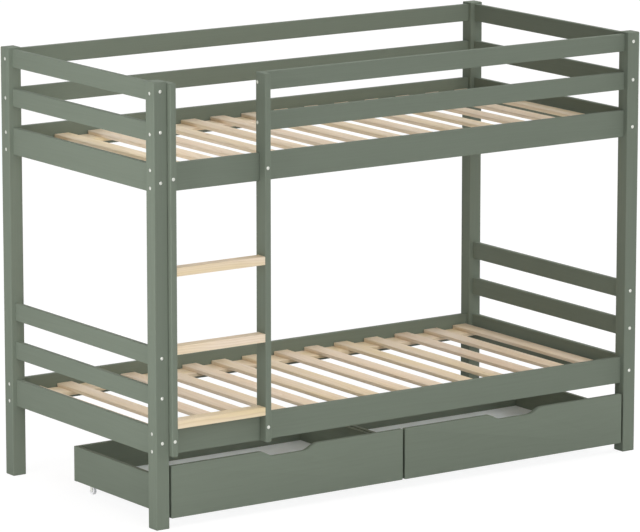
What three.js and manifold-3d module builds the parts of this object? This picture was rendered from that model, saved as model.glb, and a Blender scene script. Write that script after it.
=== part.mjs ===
// A bunk bed with a ladder and two rolling drawers, in millimetres with +Z up.
// The origin is on the floor under the middle of the bed. +X runs along the bed, and the ladder is at -Y.
import * as THREE from 'three';
import { mergeVertices } from 'three/addons/utils/BufferGeometryUtils.js';
import Module from 'manifold-3d';

const wasm = await Module();
wasm.setup();

// Posts
const BED_LENGTH = 2080;
const BED_WIDTH = 1003;
const POST_HEIGHT = 1550;
const POST_SIDE = 52.5;
const POST_ROUND = 3;

// Rails. A main rail carries a slatted base, and two guard rails follow above it with equal gaps.
const LOWER_FLOOR = 255;
const TOP_GUARD_DROP = 6;
const RAIL_THICK = 18;
const MAIN_HEIGHT = 97;
const GUARD_HEIGHT = 64;
const RAIL_GAP = 75.6;
const LONG_RAIL_RECESS = 20;
const RAIL_ROUND = 2.5;

// Ladder, let over the front main rails
const STILE_WIDTH = 23.5;
const STILE_PROUD = 20;
const STILE_ROUND = 2;
const LADDER_CLEAR = 361;
const RUNG_HEIGHT = 29.4;
const RUNG_DEPTH = 45;
const RUNG_RECESS = 2;
const RUNG_ROUND = 2;
const RUNG_RISES = [0, 258.7, 530];
const FIRST_RUNG_LAP = 2.2;

// Slatted bases: slats let into two side boards, which lie on a ledge along each long main rail. The
// slats stand nearly evenly, and the list has one shift for each of them, from the left.
const SLAT_SHIFTS = [1, -3, 2, -5, -11, -8, -16, -16, -9, -8, -8, -6, 0, 2, 3];
const SLAT_WIDTH = 62;
const SLAT_THICK = 13.5;
const SLAT_ROUND = 1.5;
const SLAT_END_MARGIN = 26.25;
const LOWER_SLAT_DROP = 37;
const UPPER_SLAT_DROP = 41;
const SLAT_LET_IN = 0.5;
const BOARD_WIDTH = 98;
const BOARD_THICK = 14;
const BASE_PLAY = 1.7;
const LEDGE_SIDE = 20;
const LEDGE_LET_IN = 1;
const LEDGE_ROUND = 1;
const LEDGE_END_PLAY = 10;

// Holes for the frame bolts, whose heads are let in flush. The shifts keep bolts that cross in a post
// clear of each other.
const BOLT_HOLE_RADIUS = 3.3;
const BOLT_SINK_RADIUS = 6.9;
const BOLT_SINK_DEPTH = 3;
const BOLT_GRIP = 15;
const MAIN_BOLT_SPREAD = 61.6;
const LONG_GUARD_BOLT_SHIFT = -2.8;
const END_GUARD_BOLT_SHIFT = 4.5;
const LOWER_END_BOLT_SHIFT = -1;
const UPPER_END_BOLT_SHIFT = -12;
const LOWER_STILE_BOLT_SHIFT = 4;
const UPPER_STILE_BOLT_SHIFT = 0;

// Countersunk holes for the screws between stiles and rungs
const SCREW_HOLE_RADIUS = 2.2;
const SCREW_SINK_RADIUS = 4.5;
const SCREW_SINK_DEPTH = 3;
const SCREW_HOLE_DEPTH = 50;
const SCREW_SPACING = 22;

// Drawers
const DRAWER_SIDE_GAP = 8.2;
const DRAWER_MIDDLE_GAP = 9.5;
const DRAWER_DEPTH = 634;
const FRONT_FLOOR = 34;
const FRONT_HEIGHT = 184.5;
const FRONT_THICK = 18;
const FRONT_CORNER = 4;
const FRONT_ROUND = 2;
const NOTCH_TOP_WIDTH = 222;
const NOTCH_FLOOR_WIDTH = 142;
const NOTCH_DEPTH = 21.5;
const NOTCH_CORNER = 14;
const BOX_FLOOR = 39;
const BOX_HEIGHT = 127;
const BOX_THICK = 16;
const BOX_ROUND = 2;
const BOTTOM_THICK = 18;
const BOTTOM_RISE = 2.5;

// Castors
const WHEEL_RADIUS = 15;
const WHEEL_WIDTH = 11;
const WHEEL_SHOULDER = 1.5;
const WHEEL_FLOOR_GAP = 0.3;
const AXLE_RADIUS = 2;
const AXLE_PLAY = 0.4;
const AXLE_HEAD_RADIUS = 3.2;
const AXLE_HEAD_THICK = 1.2;
const CASTOR_SIDE_INSET = 32;
const CASTOR_FRONT_INSET = 165;
const CASTOR_BACK_INSET = 74;
const PLATE_LENGTH = 44;
const PLATE_WIDTH = 28;
const PLATE_THICK = 2;
const CHEEK_THICK = 1.6;
const CHEEK_TOP_LENGTH = 26;
const CHEEK_FOOT_RADIUS = 5;
const CHEEK_PLAY = 0.7;

// Gap left between faces that touch
const SEAT = 0.3;

const HOLE_SIDES = 12;
const WHEEL_SIDES = 20;
const CORNER_STEPS = 2;
const CHAMFER_STEPS = 1;
const NOTCH_STEPS = 4;
const WELD_DISTANCE = 1e-4;

const SAGE_PAINT = { color: 0x727b6e, roughness: 0.55, metalness: 0 };
const PINE = { color: 0xd6c4a6, roughness: 0.6, metalness: 0 };
const GREY_BOARD = { color: 0xb8b4ac, roughness: 0.7, metalness: 0 };
const ZINC = { color: 0xd9dbd2, roughness: 0.35, metalness: 0.8 };
const PALE_PLASTIC = { color: 0xcfd1d4, roughness: 0.4, metalness: 0 };

const ALONG_X = new THREE.Vector3(1, 0, 0);
const ALONG_Y = new THREE.Vector3(0, 1, 0);
const ALONG_Z = new THREE.Vector3(0, 0, 1);
const LIE_ALONG_X = [ALONG_Y, ALONG_Z, ALONG_X];
const LIE_ALONG_Y = [ALONG_Z, ALONG_X, ALONG_Y];
const STAND_ALONG_Z = [ALONG_X, ALONG_Y, ALONG_Z];
const FACE_THE_FRONT = [ALONG_X, ALONG_Z, ALONG_Y.clone().negate()];

// A side of the bed is -1 or 1 along X, and a face of it is -1 or 1 along Y.
const SIDES = { left: -1, right: 1 };
const FACES = { front: -1, back: 1 };
const GUARDS = { low_guard: 0, top_guard: 1 };
// The upper rails are placed down from the tops of the posts, and the lower ones up from the floor.
const UPPER_FLOOR = POST_HEIGHT - TOP_GUARD_DROP - 2 * (GUARD_HEIGHT + RAIL_GAP) - MAIN_HEIGHT;
const LEVELS = {
  lower: {
    floor: LOWER_FLOOR,
    slatDrop: LOWER_SLAT_DROP,
    endBoltShift: LOWER_END_BOLT_SHIFT,
    stileBoltShift: LOWER_STILE_BOLT_SHIFT,
  },
  upper: {
    floor: UPPER_FLOOR,
    slatDrop: UPPER_SLAT_DROP,
    endBoltShift: UPPER_END_BOLT_SHIFT,
    stileBoltShift: UPPER_STILE_BOLT_SHIFT,
  },
};

// Places that several pieces share
const POST_X = BED_LENGTH / 2 - POST_SIDE / 2;
const POST_Y = BED_WIDTH / 2 - POST_SIDE / 2;
const LONG_RAIL_Y = BED_WIDTH / 2 - LONG_RAIL_RECESS - RAIL_THICK / 2;
const LONG_RAIL_LENGTH = BED_LENGTH - 2 * (POST_SIDE + SEAT);
const END_RAIL_LENGTH = BED_WIDTH - 2 * (POST_SIDE + SEAT);
const INNER_HALF_LENGTH = POST_X - RAIL_THICK / 2;
const INNER_HALF_WIDTH = LONG_RAIL_Y - RAIL_THICK / 2;
const STILE_FRONT_Y = -BED_WIDTH / 2 - STILE_PROUD;
const STILE_NOTCH_Y = -BED_WIDTH / 2 + LONG_RAIL_RECESS - SEAT;
const LEFT_STILE_X = -BED_LENGTH / 2 + POST_SIDE + SEAT + STILE_WIDTH / 2;
const RIGHT_STILE_X = LEFT_STILE_X + STILE_WIDTH + LADDER_CLEAR;
const RUNG_X = (LEFT_STILE_X + RIGHT_STILE_X) / 2;
const RUNG_Y = STILE_FRONT_Y + RUNG_RECESS + RUNG_DEPTH / 2;
const FIRST_RUNG_Z = LOWER_FLOOR + MAIN_HEIGHT + SEAT - FIRST_RUNG_LAP + RUNG_HEIGHT / 2;
const BOARD_TOP_DROP = SLAT_THICK - SLAT_LET_IN;
const DRAWER_WIDTH = BED_LENGTH / 2 - POST_SIDE - DRAWER_SIDE_GAP - DRAWER_MIDDLE_GAP / 2;
const BOTTOM_FLOOR = BOX_FLOOR + BOTTOM_RISE;
const AXLE_Z = WHEEL_RADIUS + WHEEL_FLOOR_GAP;

function mainMiddle(level) {
  return level.floor + MAIN_HEIGHT / 2;
}

function guardMiddle(level, place) {
  return level.floor + MAIN_HEIGHT + RAIL_GAP + GUARD_HEIGHT / 2 + place * (GUARD_HEIGHT + RAIL_GAP);
}

// Solids are used to join and cut, and geometries are what the meshes hold.
function solidOf(geometry) {
  const bare = geometry.clone();
  bare.deleteAttribute('normal');
  bare.deleteAttribute('uv');
  const merged = mergeVertices(bare, WELD_DISTANCE);
  return new wasm.Manifold(new wasm.Mesh({
    numProp: 3,
    vertProperties: new Float32Array(merged.attributes.position.array),
    triVerts: new Uint32Array(merged.index.array),
  }));
}

function geometryOf(solid) {
  const mesh = solid.getMesh();
  const geometry = new THREE.BufferGeometry();
  geometry.setAttribute('position', new THREE.BufferAttribute(mesh.vertProperties, 3));
  geometry.setIndex(new THREE.BufferAttribute(mesh.triVerts, 1));
  geometry.computeVertexNormals();
  return geometry;
}

function joined(geometries) {
  return geometryOf(geometries.map(solidOf).reduce((all, solid) => all.add(solid)));
}

// A closed outline through the corners, each one rounded off by a curve that starts its reach away.
function outlineOf(corners, reachOf) {
  const shape = new THREE.Shape();
  corners.forEach((corner, index) => {
    const reach = reachOf(index);
    const previous = corners[(index + corners.length - 1) % corners.length];
    const next = corners[(index + 1) % corners.length];
    const start = previous.clone().sub(corner).setLength(reach).add(corner);
    const end = next.clone().sub(corner).setLength(reach).add(corner);
    if (index === 0) shape.moveTo(start.x, start.y);
    else shape.lineTo(start.x, start.y);
    if (reach > 0) shape.quadraticCurveTo(corner.x, corner.y, end.x, end.y);
  });
  shape.closePath();
  return shape;
}

function cornersOf(pairs) {
  return pairs.map(([x, y]) => new THREE.Vector2(x, y));
}

function rectangle(width, height, reach) {
  const corners = cornersOf([[-width, -height], [width, -height], [width, height], [-width, height]]);
  return outlineOf(corners.map((corner) => corner.divideScalar(2)), () => reach);
}

// Extrudes an outline over a thickness that is centred on zero, then turns it to lie along an axis.
function extrude(outline, thickness, endRound, steps, basis) {
  const geometry = new THREE.ExtrudeGeometry(outline, {
    depth: thickness - 2 * endRound,
    bevelEnabled: endRound > 0,
    bevelThickness: endRound,
    bevelSize: endRound,
    bevelOffset: -endRound,
    bevelSegments: 1,
    curveSegments: steps,
  });
  geometry.translate(0, 0, endRound - thickness / 2);
  geometry.applyMatrix4(new THREE.Matrix4().makeBasis(...basis));
  return geometry;
}

function barAlongX(length, depth, height, round, steps = CORNER_STEPS) {
  return extrude(rectangle(depth, height, round), length, 0, steps, LIE_ALONG_X);
}

function barAlongY(width, length, height, round, steps = CORNER_STEPS) {
  return extrude(rectangle(height, width, round), length, 0, steps, LIE_ALONG_Y);
}

function uprightBar(side, height, round) {
  return extrude(rectangle(side, side, round), height, round / 2, CORNER_STEPS, STAND_ALONG_Z);
}

// Turns a profile of [radius, run] pairs round the run axis, which then points along the direction.
function turned(profile, sides, direction) {
  const geometry = new THREE.LatheGeometry(cornersOf(profile), sides);
  geometry.applyQuaternion(new THREE.Quaternion().setFromUnitVectors(ALONG_Y, direction));
  return geometry;
}

// The holes for all bolts. Each starts on an outer face and passes one piece to grip the next.
function boltHoles() {
  const holes = [];
  const drill = (x, y, z, direction, passes) => {
    const profile = [
      [0, -SEAT],
      [BOLT_SINK_RADIUS, -SEAT],
      [BOLT_SINK_RADIUS, BOLT_SINK_DEPTH],
      [BOLT_HOLE_RADIUS, BOLT_SINK_DEPTH],
      [BOLT_HOLE_RADIUS, passes + BOLT_GRIP],
      [0, passes + BOLT_GRIP],
    ];
    holes.push(turned(profile, HOLE_SIDES, direction).translate(x, y, z));
  };
  for (const level of Object.values(LEVELS)) {
    const middle = mainMiddle(level);
    for (const side of Object.values(SIDES)) {
      for (const face of Object.values(FACES)) {
        const inwardX = new THREE.Vector3(-side, 0, 0);
        const inwardY = new THREE.Vector3(0, -face, 0);
        const postEnd = side * BED_LENGTH / 2;
        const postFace = face * BED_WIDTH / 2;
        drill(side * POST_X, postFace, middle + level.endBoltShift, inwardY, POST_SIDE);
        drill(postEnd, face * LONG_RAIL_Y, middle - MAIN_BOLT_SPREAD / 2, inwardX, POST_SIDE);
        drill(postEnd, face * LONG_RAIL_Y, middle + MAIN_BOLT_SPREAD / 2, inwardX, POST_SIDE);
        for (const place of Object.values(GUARDS)) {
          const guardZ = guardMiddle(level, place);
          const crossed = level === LEVELS.upper;
          drill(side * POST_X, postFace, guardZ + (crossed ? END_GUARD_BOLT_SHIFT : 0), inwardY, POST_SIDE);
          if (crossed) {
            drill(postEnd, face * LONG_RAIL_Y, guardZ + LONG_GUARD_BOLT_SHIFT, inwardX, POST_SIDE);
          }
        }
      }
    }
    for (const x of [LEFT_STILE_X, RIGHT_STILE_X]) {
      drill(x, STILE_FRONT_Y, middle + level.stileBoltShift, ALONG_Y, STILE_NOTCH_Y - STILE_FRONT_Y);
    }
  }
  for (const place of Object.values(GUARDS)) {
    const z = guardMiddle(LEVELS.upper, place) + LONG_GUARD_BOLT_SHIFT;
    drill(RIGHT_STILE_X - STILE_WIDTH / 2, -LONG_RAIL_Y, z, ALONG_X, STILE_WIDTH);
  }
  return holes;
}

// The countersunk holes from the outer faces of the stiles into the ends of the rungs
function screwHoles() {
  const profile = [
    [0, -SEAT],
    [SCREW_SINK_RADIUS, -SEAT],
    [SCREW_SINK_RADIUS, 0],
    [SCREW_HOLE_RADIUS, SCREW_SINK_DEPTH],
    [SCREW_HOLE_RADIUS, SCREW_HOLE_DEPTH],
    [0, SCREW_HOLE_DEPTH],
  ];
  const holes = [];
  for (const rise of RUNG_RISES) {
    for (const y of [RUNG_Y - SCREW_SPACING / 2, RUNG_Y + SCREW_SPACING / 2]) {
      const fromLeft = turned(profile, HOLE_SIDES, ALONG_X);
      const fromRight = turned(profile, HOLE_SIDES, ALONG_X.clone().negate());
      holes.push(fromLeft.translate(LEFT_STILE_X - STILE_WIDTH / 2, y, FIRST_RUNG_Z + rise));
      holes.push(fromRight.translate(RIGHT_STILE_X + STILE_WIDTH / 2, y, FIRST_RUNG_Z + rise));
    }
  }
  return holes;
}

const allHoles = solidOf(joined([...boltHoles(), ...screwHoles()]));

function addPiece(parent, name, geometry, finish, x = 0, y = 0, z = 0) {
  const mesh = new THREE.Mesh(geometry, new THREE.MeshStandardMaterial(finish));
  mesh.name = name;
  mesh.position.set(x, y, z);
  parent.add(mesh);
}

// Adds a piece of the frame with each hole that meets it at its place.
function addDrilled(parent, name, geometry, finish, x, y, z, cutter = allHoles) {
  const drilled = solidOf(geometry).translate([x, y, z]).subtract(cutter).translate([-x, -y, -z]);
  addPiece(parent, name, geometryOf(drilled), finish, x, y, z);
}

// A long main rail with the ledge on its inner face, for the front or the back of the bed
function longMainRail(level, face) {
  const rail = barAlongX(LONG_RAIL_LENGTH, RAIL_THICK, MAIN_HEIGHT, RAIL_ROUND);
  const ledgeLength = LONG_RAIL_LENGTH - 2 * LEDGE_END_PLAY;
  const ledge = barAlongX(ledgeLength, LEDGE_SIDE + LEDGE_LET_IN, LEDGE_SIDE, LEDGE_ROUND, CHAMFER_STEPS);
  const inward = RAIL_THICK / 2 + (LEDGE_SIDE - LEDGE_LET_IN) / 2;
  const ledgeTop = MAIN_HEIGHT / 2 - level.slatDrop - BOARD_TOP_DROP - BOARD_THICK - SEAT;
  ledge.translate(0, -face * inward, ledgeTop - LEDGE_SIDE / 2);
  return joined([rail, ledge]);
}

function frame() {
  const group = new THREE.Group();
  const endMain = barAlongY(RAIL_THICK, END_RAIL_LENGTH, MAIN_HEIGHT, RAIL_ROUND);
  const endGuard = barAlongY(RAIL_THICK, END_RAIL_LENGTH, GUARD_HEIGHT, RAIL_ROUND);
  for (const [sideName, side] of Object.entries(SIDES)) {
    for (const [faceName, face] of Object.entries(FACES)) {
      const post = uprightBar(POST_SIDE, POST_HEIGHT, POST_ROUND);
      const name = `${faceName}_${sideName}_post`;
      addDrilled(group, name, post, SAGE_PAINT, side * POST_X, face * POST_Y, POST_HEIGHT / 2);
    }
    for (const [levelName, level] of Object.entries(LEVELS)) {
      const end = `${levelName}_${sideName}_end`;
      addDrilled(group, `${end}_main_rail`, endMain, SAGE_PAINT, side * POST_X, 0, mainMiddle(level));
      for (const [guardName, place] of Object.entries(GUARDS)) {
        const z = guardMiddle(level, place);
        addDrilled(group, `${end}_${guardName}`, endGuard, SAGE_PAINT, side * POST_X, 0, z);
      }
    }
  }
  for (const [levelName, level] of Object.entries(LEVELS)) {
    for (const [faceName, face] of Object.entries(FACES)) {
      const name = `${levelName}_${faceName}_main_rail`;
      const rail = longMainRail(level, face);
      addDrilled(group, name, rail, SAGE_PAINT, 0, face * LONG_RAIL_Y, mainMiddle(level));
    }
  }
  const ladderSide = RIGHT_STILE_X + STILE_WIDTH / 2 + SEAT;
  const postSide = LONG_RAIL_LENGTH / 2;
  const longGuard = barAlongX(LONG_RAIL_LENGTH, RAIL_THICK, GUARD_HEIGHT, RAIL_ROUND);
  const shortGuard = barAlongX(postSide - ladderSide, RAIL_THICK, GUARD_HEIGHT, RAIL_ROUND);
  const shortX = (ladderSide + postSide) / 2;
  for (const [guardName, place] of Object.entries(GUARDS)) {
    const z = guardMiddle(LEVELS.upper, place);
    addDrilled(group, `upper_back_${guardName}`, longGuard, SAGE_PAINT, 0, LONG_RAIL_Y, z);
    addDrilled(group, `upper_front_${guardName}`, shortGuard, SAGE_PAINT, shortX, -LONG_RAIL_Y, z);
  }
  return group;
}

// A stile seen from the side. It is cut back to pass in front of both main rails.
function stile() {
  const back = -INNER_HALF_WIDTH;
  const bottom = LOWER_FLOOR;
  const top = guardMiddle(LEVELS.upper, GUARDS.top_guard) + GUARD_HEIGHT / 2;
  const corners = cornersOf([
    [STILE_FRONT_Y, bottom],
    [STILE_NOTCH_Y, bottom],
    [STILE_NOTCH_Y, LOWER_FLOOR + MAIN_HEIGHT + SEAT],
    [back, LOWER_FLOOR + MAIN_HEIGHT + SEAT],
    [back, UPPER_FLOOR - SEAT],
    [STILE_NOTCH_Y, UPPER_FLOOR - SEAT],
    [STILE_NOTCH_Y, UPPER_FLOOR + MAIN_HEIGHT + SEAT],
    [back, UPPER_FLOOR + MAIN_HEIGHT + SEAT],
    [back, top],
    [STILE_FRONT_Y, top],
  ]);
  return extrude(outlineOf(corners, () => 0), STILE_WIDTH, STILE_ROUND, CORNER_STEPS, LIE_ALONG_X);
}

function ladder() {
  const group = new THREE.Group();
  addDrilled(group, 'ladder_left_stile', stile(), SAGE_PAINT, LEFT_STILE_X, 0, 0);
  addDrilled(group, 'ladder_right_stile', stile(), SAGE_PAINT, RIGHT_STILE_X, 0, 0);
  const rung = barAlongX(LADDER_CLEAR - 2 * SEAT, RUNG_DEPTH, RUNG_HEIGHT, RUNG_ROUND);
  // The lowest rung laps a little over the face of the main rail that it stands on.
  const railRoom = barAlongX(LADDER_CLEAR, RAIL_THICK + 2 * SEAT, MAIN_HEIGHT + 2 * SEAT, 0);
  railRoom.translate(RUNG_X, -LONG_RAIL_Y, mainMiddle(LEVELS.lower));
  const cutter = allHoles.add(solidOf(railRoom));
  RUNG_RISES.forEach((rise, index) => {
    const z = FIRST_RUNG_Z + rise;
    addDrilled(group, `ladder_rung_${index + 1}`, rung, PINE, RUNG_X, RUNG_Y, z, cutter);
  });
  return group;
}

// A slatted base, with the upper faces of its slats at zero
function slattedBase() {
  const halfWidth = INNER_HALF_WIDTH - BASE_PLAY;
  const boardLength = LONG_RAIL_LENGTH - 2 * BASE_PLAY;
  const slat = barAlongY(SLAT_WIDTH, 2 * halfWidth, SLAT_THICK, SLAT_ROUND, CHAMFER_STEPS);
  const board = barAlongX(boardLength, BOARD_WIDTH, BOARD_THICK, SLAT_ROUND, CHAMFER_STEPS);
  const boardY = halfWidth - BOARD_WIDTH / 2;
  const boardZ = -BOARD_TOP_DROP - BOARD_THICK / 2;
  const lastX = INNER_HALF_LENGTH - SLAT_END_MARGIN - SLAT_WIDTH / 2;
  const pieces = [board.clone().translate(0, -boardY, boardZ), board.translate(0, boardY, boardZ)];
  SLAT_SHIFTS.forEach((shift, index) => {
    const x = THREE.MathUtils.lerp(-lastX, lastX, index / (SLAT_SHIFTS.length - 1)) + shift;
    pieces.push(slat.clone().translate(x, 0, -SLAT_THICK / 2));
  });
  return joined(pieces);
}

function slattedBases() {
  const group = new THREE.Group();
  for (const [levelName, level] of Object.entries(LEVELS)) {
    const top = level.floor + MAIN_HEIGHT - level.slatDrop;
    addPiece(group, `${levelName}_slatted_base`, slattedBase(), PINE, 0, 0, top);
  }
  return group;
}

// A drawer front seen from the front, with the hand notch in its top edge
function drawerFront() {
  const side = DRAWER_WIDTH / 2;
  const top = FRONT_HEIGHT / 2;
  const boardCorners = [[-side, top], [-side, -top], [side, -top], [side, top]];
  const notchCorners = [
    [NOTCH_TOP_WIDTH / 2, top],
    [NOTCH_FLOOR_WIDTH / 2, top - NOTCH_DEPTH],
    [-NOTCH_FLOOR_WIDTH / 2, top - NOTCH_DEPTH],
    [-NOTCH_TOP_WIDTH / 2, top],
  ];
  const reachOf = (index) => (index < boardCorners.length ? FRONT_CORNER : NOTCH_CORNER);
  const outline = outlineOf(cornersOf([...boardCorners, ...notchCorners]), reachOf);
  return extrude(outline, FRONT_THICK, FRONT_ROUND, NOTCH_STEPS, FACE_THE_FRONT);
}

// A plate, two cheeks and the axle riveted between them, with the middle of the axle at zero
function castorBracket() {
  const plateTop = BOTTOM_FLOOR - SEAT - AXLE_Z;
  const plateMiddle = plateTop - PLATE_THICK / 2;
  const plate = barAlongX(PLATE_WIDTH, PLATE_LENGTH, PLATE_THICK, 0).translate(0, 0, plateMiddle);
  const outline = new THREE.Shape();
  outline.moveTo(CHEEK_TOP_LENGTH / 2, plateMiddle);
  outline.lineTo(-CHEEK_TOP_LENGTH / 2, plateMiddle);
  outline.lineTo(-CHEEK_FOOT_RADIUS, 0);
  outline.absarc(0, 0, CHEEK_FOOT_RADIUS, Math.PI, 2 * Math.PI);
  outline.closePath();
  const cheek = extrude(outline, CHEEK_THICK, 0, HOLE_SIDES / 2, LIE_ALONG_X);
  const cheekX = WHEEL_WIDTH / 2 + CHEEK_PLAY + CHEEK_THICK / 2;
  const axleEnd = cheekX + CHEEK_THICK / 2 + AXLE_HEAD_THICK;
  const axle = turned([
    [0, -axleEnd],
    [AXLE_HEAD_RADIUS, -axleEnd],
    [AXLE_HEAD_RADIUS, -cheekX],
    [AXLE_RADIUS, -cheekX],
    [AXLE_RADIUS, cheekX],
    [AXLE_HEAD_RADIUS, cheekX],
    [AXLE_HEAD_RADIUS, axleEnd],
    [0, axleEnd],
  ], HOLE_SIDES, ALONG_X);
  return joined([plate, cheek.clone().translate(-cheekX, 0, 0), cheek.translate(cheekX, 0, 0), axle]);
}

function castorWheel() {
  const face = WHEEL_WIDTH / 2;
  const profile = [
    [AXLE_RADIUS + AXLE_PLAY, -face],
    [WHEEL_RADIUS - WHEEL_SHOULDER, -face],
    [WHEEL_RADIUS, WHEEL_SHOULDER - face],
    [WHEEL_RADIUS, face - WHEEL_SHOULDER],
    [WHEEL_RADIUS - WHEEL_SHOULDER, face],
    [AXLE_RADIUS + AXLE_PLAY, face],
    [AXLE_RADIUS + AXLE_PLAY, -face],
  ];
  return turned(profile, WHEEL_SIDES, ALONG_X);
}

// A drawer on its castors. Its group stands on the floor below the middle of the drawer's front face.
function drawer(sideName, side) {
  const group = new THREE.Group();
  group.position.set(side * (DRAWER_WIDTH + DRAWER_MIDDLE_GAP) / 2, -BED_WIDTH / 2, 0);
  const name = `${sideName}_drawer`;
  const boxStart = FRONT_THICK + SEAT;
  const backStart = DRAWER_DEPTH - BOX_THICK;
  const boxLength = backStart - SEAT - boxStart;
  const boxY = boxStart + boxLength / 2;
  const boxZ = BOX_FLOOR + BOX_HEIGHT / 2;
  const frontZ = FRONT_FLOOR + FRONT_HEIGHT / 2;
  const bottomWidth = DRAWER_WIDTH - 2 * (BOX_THICK + SEAT);
  const sidePanel = barAlongY(BOX_THICK, boxLength, BOX_HEIGHT, BOX_ROUND);
  const backPanel = barAlongX(DRAWER_WIDTH, BOX_THICK, BOX_HEIGHT, BOX_ROUND);
  const bottomPanel = barAlongX(bottomWidth, boxLength, BOTTOM_THICK, 0);
  addPiece(group, `${name}_front`, drawerFront(), SAGE_PAINT, 0, FRONT_THICK / 2, frontZ);
  addPiece(group, `${name}_back`, backPanel, SAGE_PAINT, 0, backStart + BOX_THICK / 2, boxZ);
  addPiece(group, `${name}_bottom`, bottomPanel, GREY_BOARD, 0, boxY, BOTTOM_FLOOR + BOTTOM_THICK / 2);
  for (const [endName, end] of Object.entries(SIDES)) {
    const panelX = end * (DRAWER_WIDTH - BOX_THICK) / 2;
    addPiece(group, `${name}_${endName}_side`, sidePanel, SAGE_PAINT, panelX, boxY, boxZ);
    for (const [faceName, face] of Object.entries(FACES)) {
      const castor = `${name}_${faceName}_${endName}`;
      const inset = face === FACES.front ? CASTOR_FRONT_INSET : CASTOR_BACK_INSET;
      const x = end * (DRAWER_WIDTH / 2 - CASTOR_SIDE_INSET);
      const y = DRAWER_DEPTH / 2 + face * (DRAWER_DEPTH / 2 - inset);
      addPiece(group, `${castor}_castor_bracket`, castorBracket(), ZINC, x, y, AXLE_Z);
      addPiece(group, `${castor}_wheel`, castorWheel(), PALE_PLASTIC, x, y, AXLE_Z);
    }
  }
  return group;
}

const bed = new THREE.Group();
bed.add(frame(), ladder(), slattedBases());
bed.add(drawer('left', SIDES.left), drawer('right', SIDES.right));
// The ladder stands proud at the front only, so the bed moves back by half of that to centre its footprint.
bed.position.y = STILE_PROUD / 2;

export default bed;
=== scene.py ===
import math
import random

import bmesh
import bpy
from mathutils import Matrix, Vector


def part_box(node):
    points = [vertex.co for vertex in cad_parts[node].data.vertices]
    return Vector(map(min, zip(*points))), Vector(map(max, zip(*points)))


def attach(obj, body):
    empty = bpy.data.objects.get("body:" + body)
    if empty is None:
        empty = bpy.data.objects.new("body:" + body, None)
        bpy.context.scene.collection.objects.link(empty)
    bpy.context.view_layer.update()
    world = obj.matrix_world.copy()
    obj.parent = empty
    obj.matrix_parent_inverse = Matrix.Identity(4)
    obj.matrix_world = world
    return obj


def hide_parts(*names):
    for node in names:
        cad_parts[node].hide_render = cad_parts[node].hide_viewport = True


bl_info = {
    "name": "Bunk Bed with Drawers",
    "version": (1, 0, 0),
    "blender": (4, 5, 0),
    "location": "3D View > Sidebar > Bunk Bed",
    "description": "Gives a bunk bed its painted wood, slats, bolts, drawer fronts, castors and studio",
    "category": "Object",
}

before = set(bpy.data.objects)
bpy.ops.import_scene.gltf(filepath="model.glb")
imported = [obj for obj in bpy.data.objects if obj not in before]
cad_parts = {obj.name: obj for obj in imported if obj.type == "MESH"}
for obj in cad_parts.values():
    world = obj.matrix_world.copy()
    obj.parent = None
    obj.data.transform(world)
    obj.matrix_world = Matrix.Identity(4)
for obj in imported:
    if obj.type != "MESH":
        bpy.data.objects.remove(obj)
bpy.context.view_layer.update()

SIDES = ("left", "right")
FACES = ("front", "back")
LEVELS = ("lower", "upper")
GUARDS = ("low_guard", "top_guard")

# The axis along the grain and the two across it, for grain that runs along each axis
GRAIN_AXES = {"X": ("X", "Y", "Z"), "Y": ("Y", "X", "Z"), "Z": ("Z", "X", "Y")}

# Features of the grain in a metre, along it and twice across it
WANDER_SCALE = (1.6, 7.0, 7.0)
STREAK_SCALE = (5.0, 190.0, 190.0)
CLOUD_SCALE = (2.2, 24.0, 24.0)
KNOT_SCALE = (3.2, 9.0, 9.0)

# How far the wood moves between boards, in metres for a board number of 1
BOARD_SHIFT = {"X": 5.3, "Y": 0.71, "Z": 0.37}

# The scale of a wave texture that has one ring in a metre
ONE_RING_SCALE = math.pi / 10

# Between these lie nearly all values of a noise texture
NOISE_RANGE = (0.3, 0.7)

# Faces that meet at less than this angle are shaded as one
SMOOTH_ANGLE = math.radians(35)

# Points round the fasteners, which are a multiple of 12 for the six-sided socket, and round castor parts
FASTENER_SIDES = 24
RIVET_SIDES, AXLE_SIDES, WHEEL_SIDES = 16, 20, 48

# How far the bolts lie from the middle of the rail that they hold, at the lower and the upper bed
END_RAIL_SHIFTS = (-0.001, -0.012)
END_GUARD_SHIFTS = (0.0, 0.0045)
STILE_SHIFTS = (0.004, 0.0)
LONG_GUARD_SHIFT = -0.0028

# How far each loop near a board's end lies from the end and is drawn in, as shares of the rounding
BOARD_ENDS = ((0.0, 0.6), (0.2, 0.2), (0.6, 0.0))
BOARD_CORNER_STEPS = 3

# Steps in the small curves and in the wide ones of an outline
CORNER_STEPS = 5
NOTCH_STEPS = 10

# A plate rivet's place from the middle of the plate, and its dome as radii and heights
PLATE_RIVET = (0.0098, 0.0172)
PLATE_RIVET_DOME = ((0.003, 0.0), (0.0028, 0.0008), (0.0018, 0.0014), (0.0004, 0.0016))

# An axle's riveted head, as shares of its half width and of its height
AXLE_HEAD = ((0.35, 1.0), (0.8, 0.7), (1.0, 0.2))

# The rounded edge of a wheel's tread: how far each point lies in from the tread and from the face
TREAD_EDGE = ((0.0016, 0.0), (0.0007, 0.0004), (0.0002, 0.001), (0.0, 0.002))


def linear(red, green, blue):
    """Turn a screen colour, with parts from 0 to 255, into the linear colour that shaders take."""
    def part(value):
        share = value / 255
        return share / 12.92 if share <= 0.04045 else ((share + 0.055) / 1.055) ** 2.4
    return (part(red), part(green), part(blue))


def colour_property(name, description, default):
    return bpy.props.FloatVectorProperty(
        name=name, description=description, default=default, size=3, min=0, max=1, subtype="COLOR",
    )


def length_property(name, description, default, low=0.0):
    return bpy.props.FloatProperty(
        name=name, description=description, default=default, min=low, precision=4,
        subtype="DISTANCE", unit="LENGTH",
    )


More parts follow.
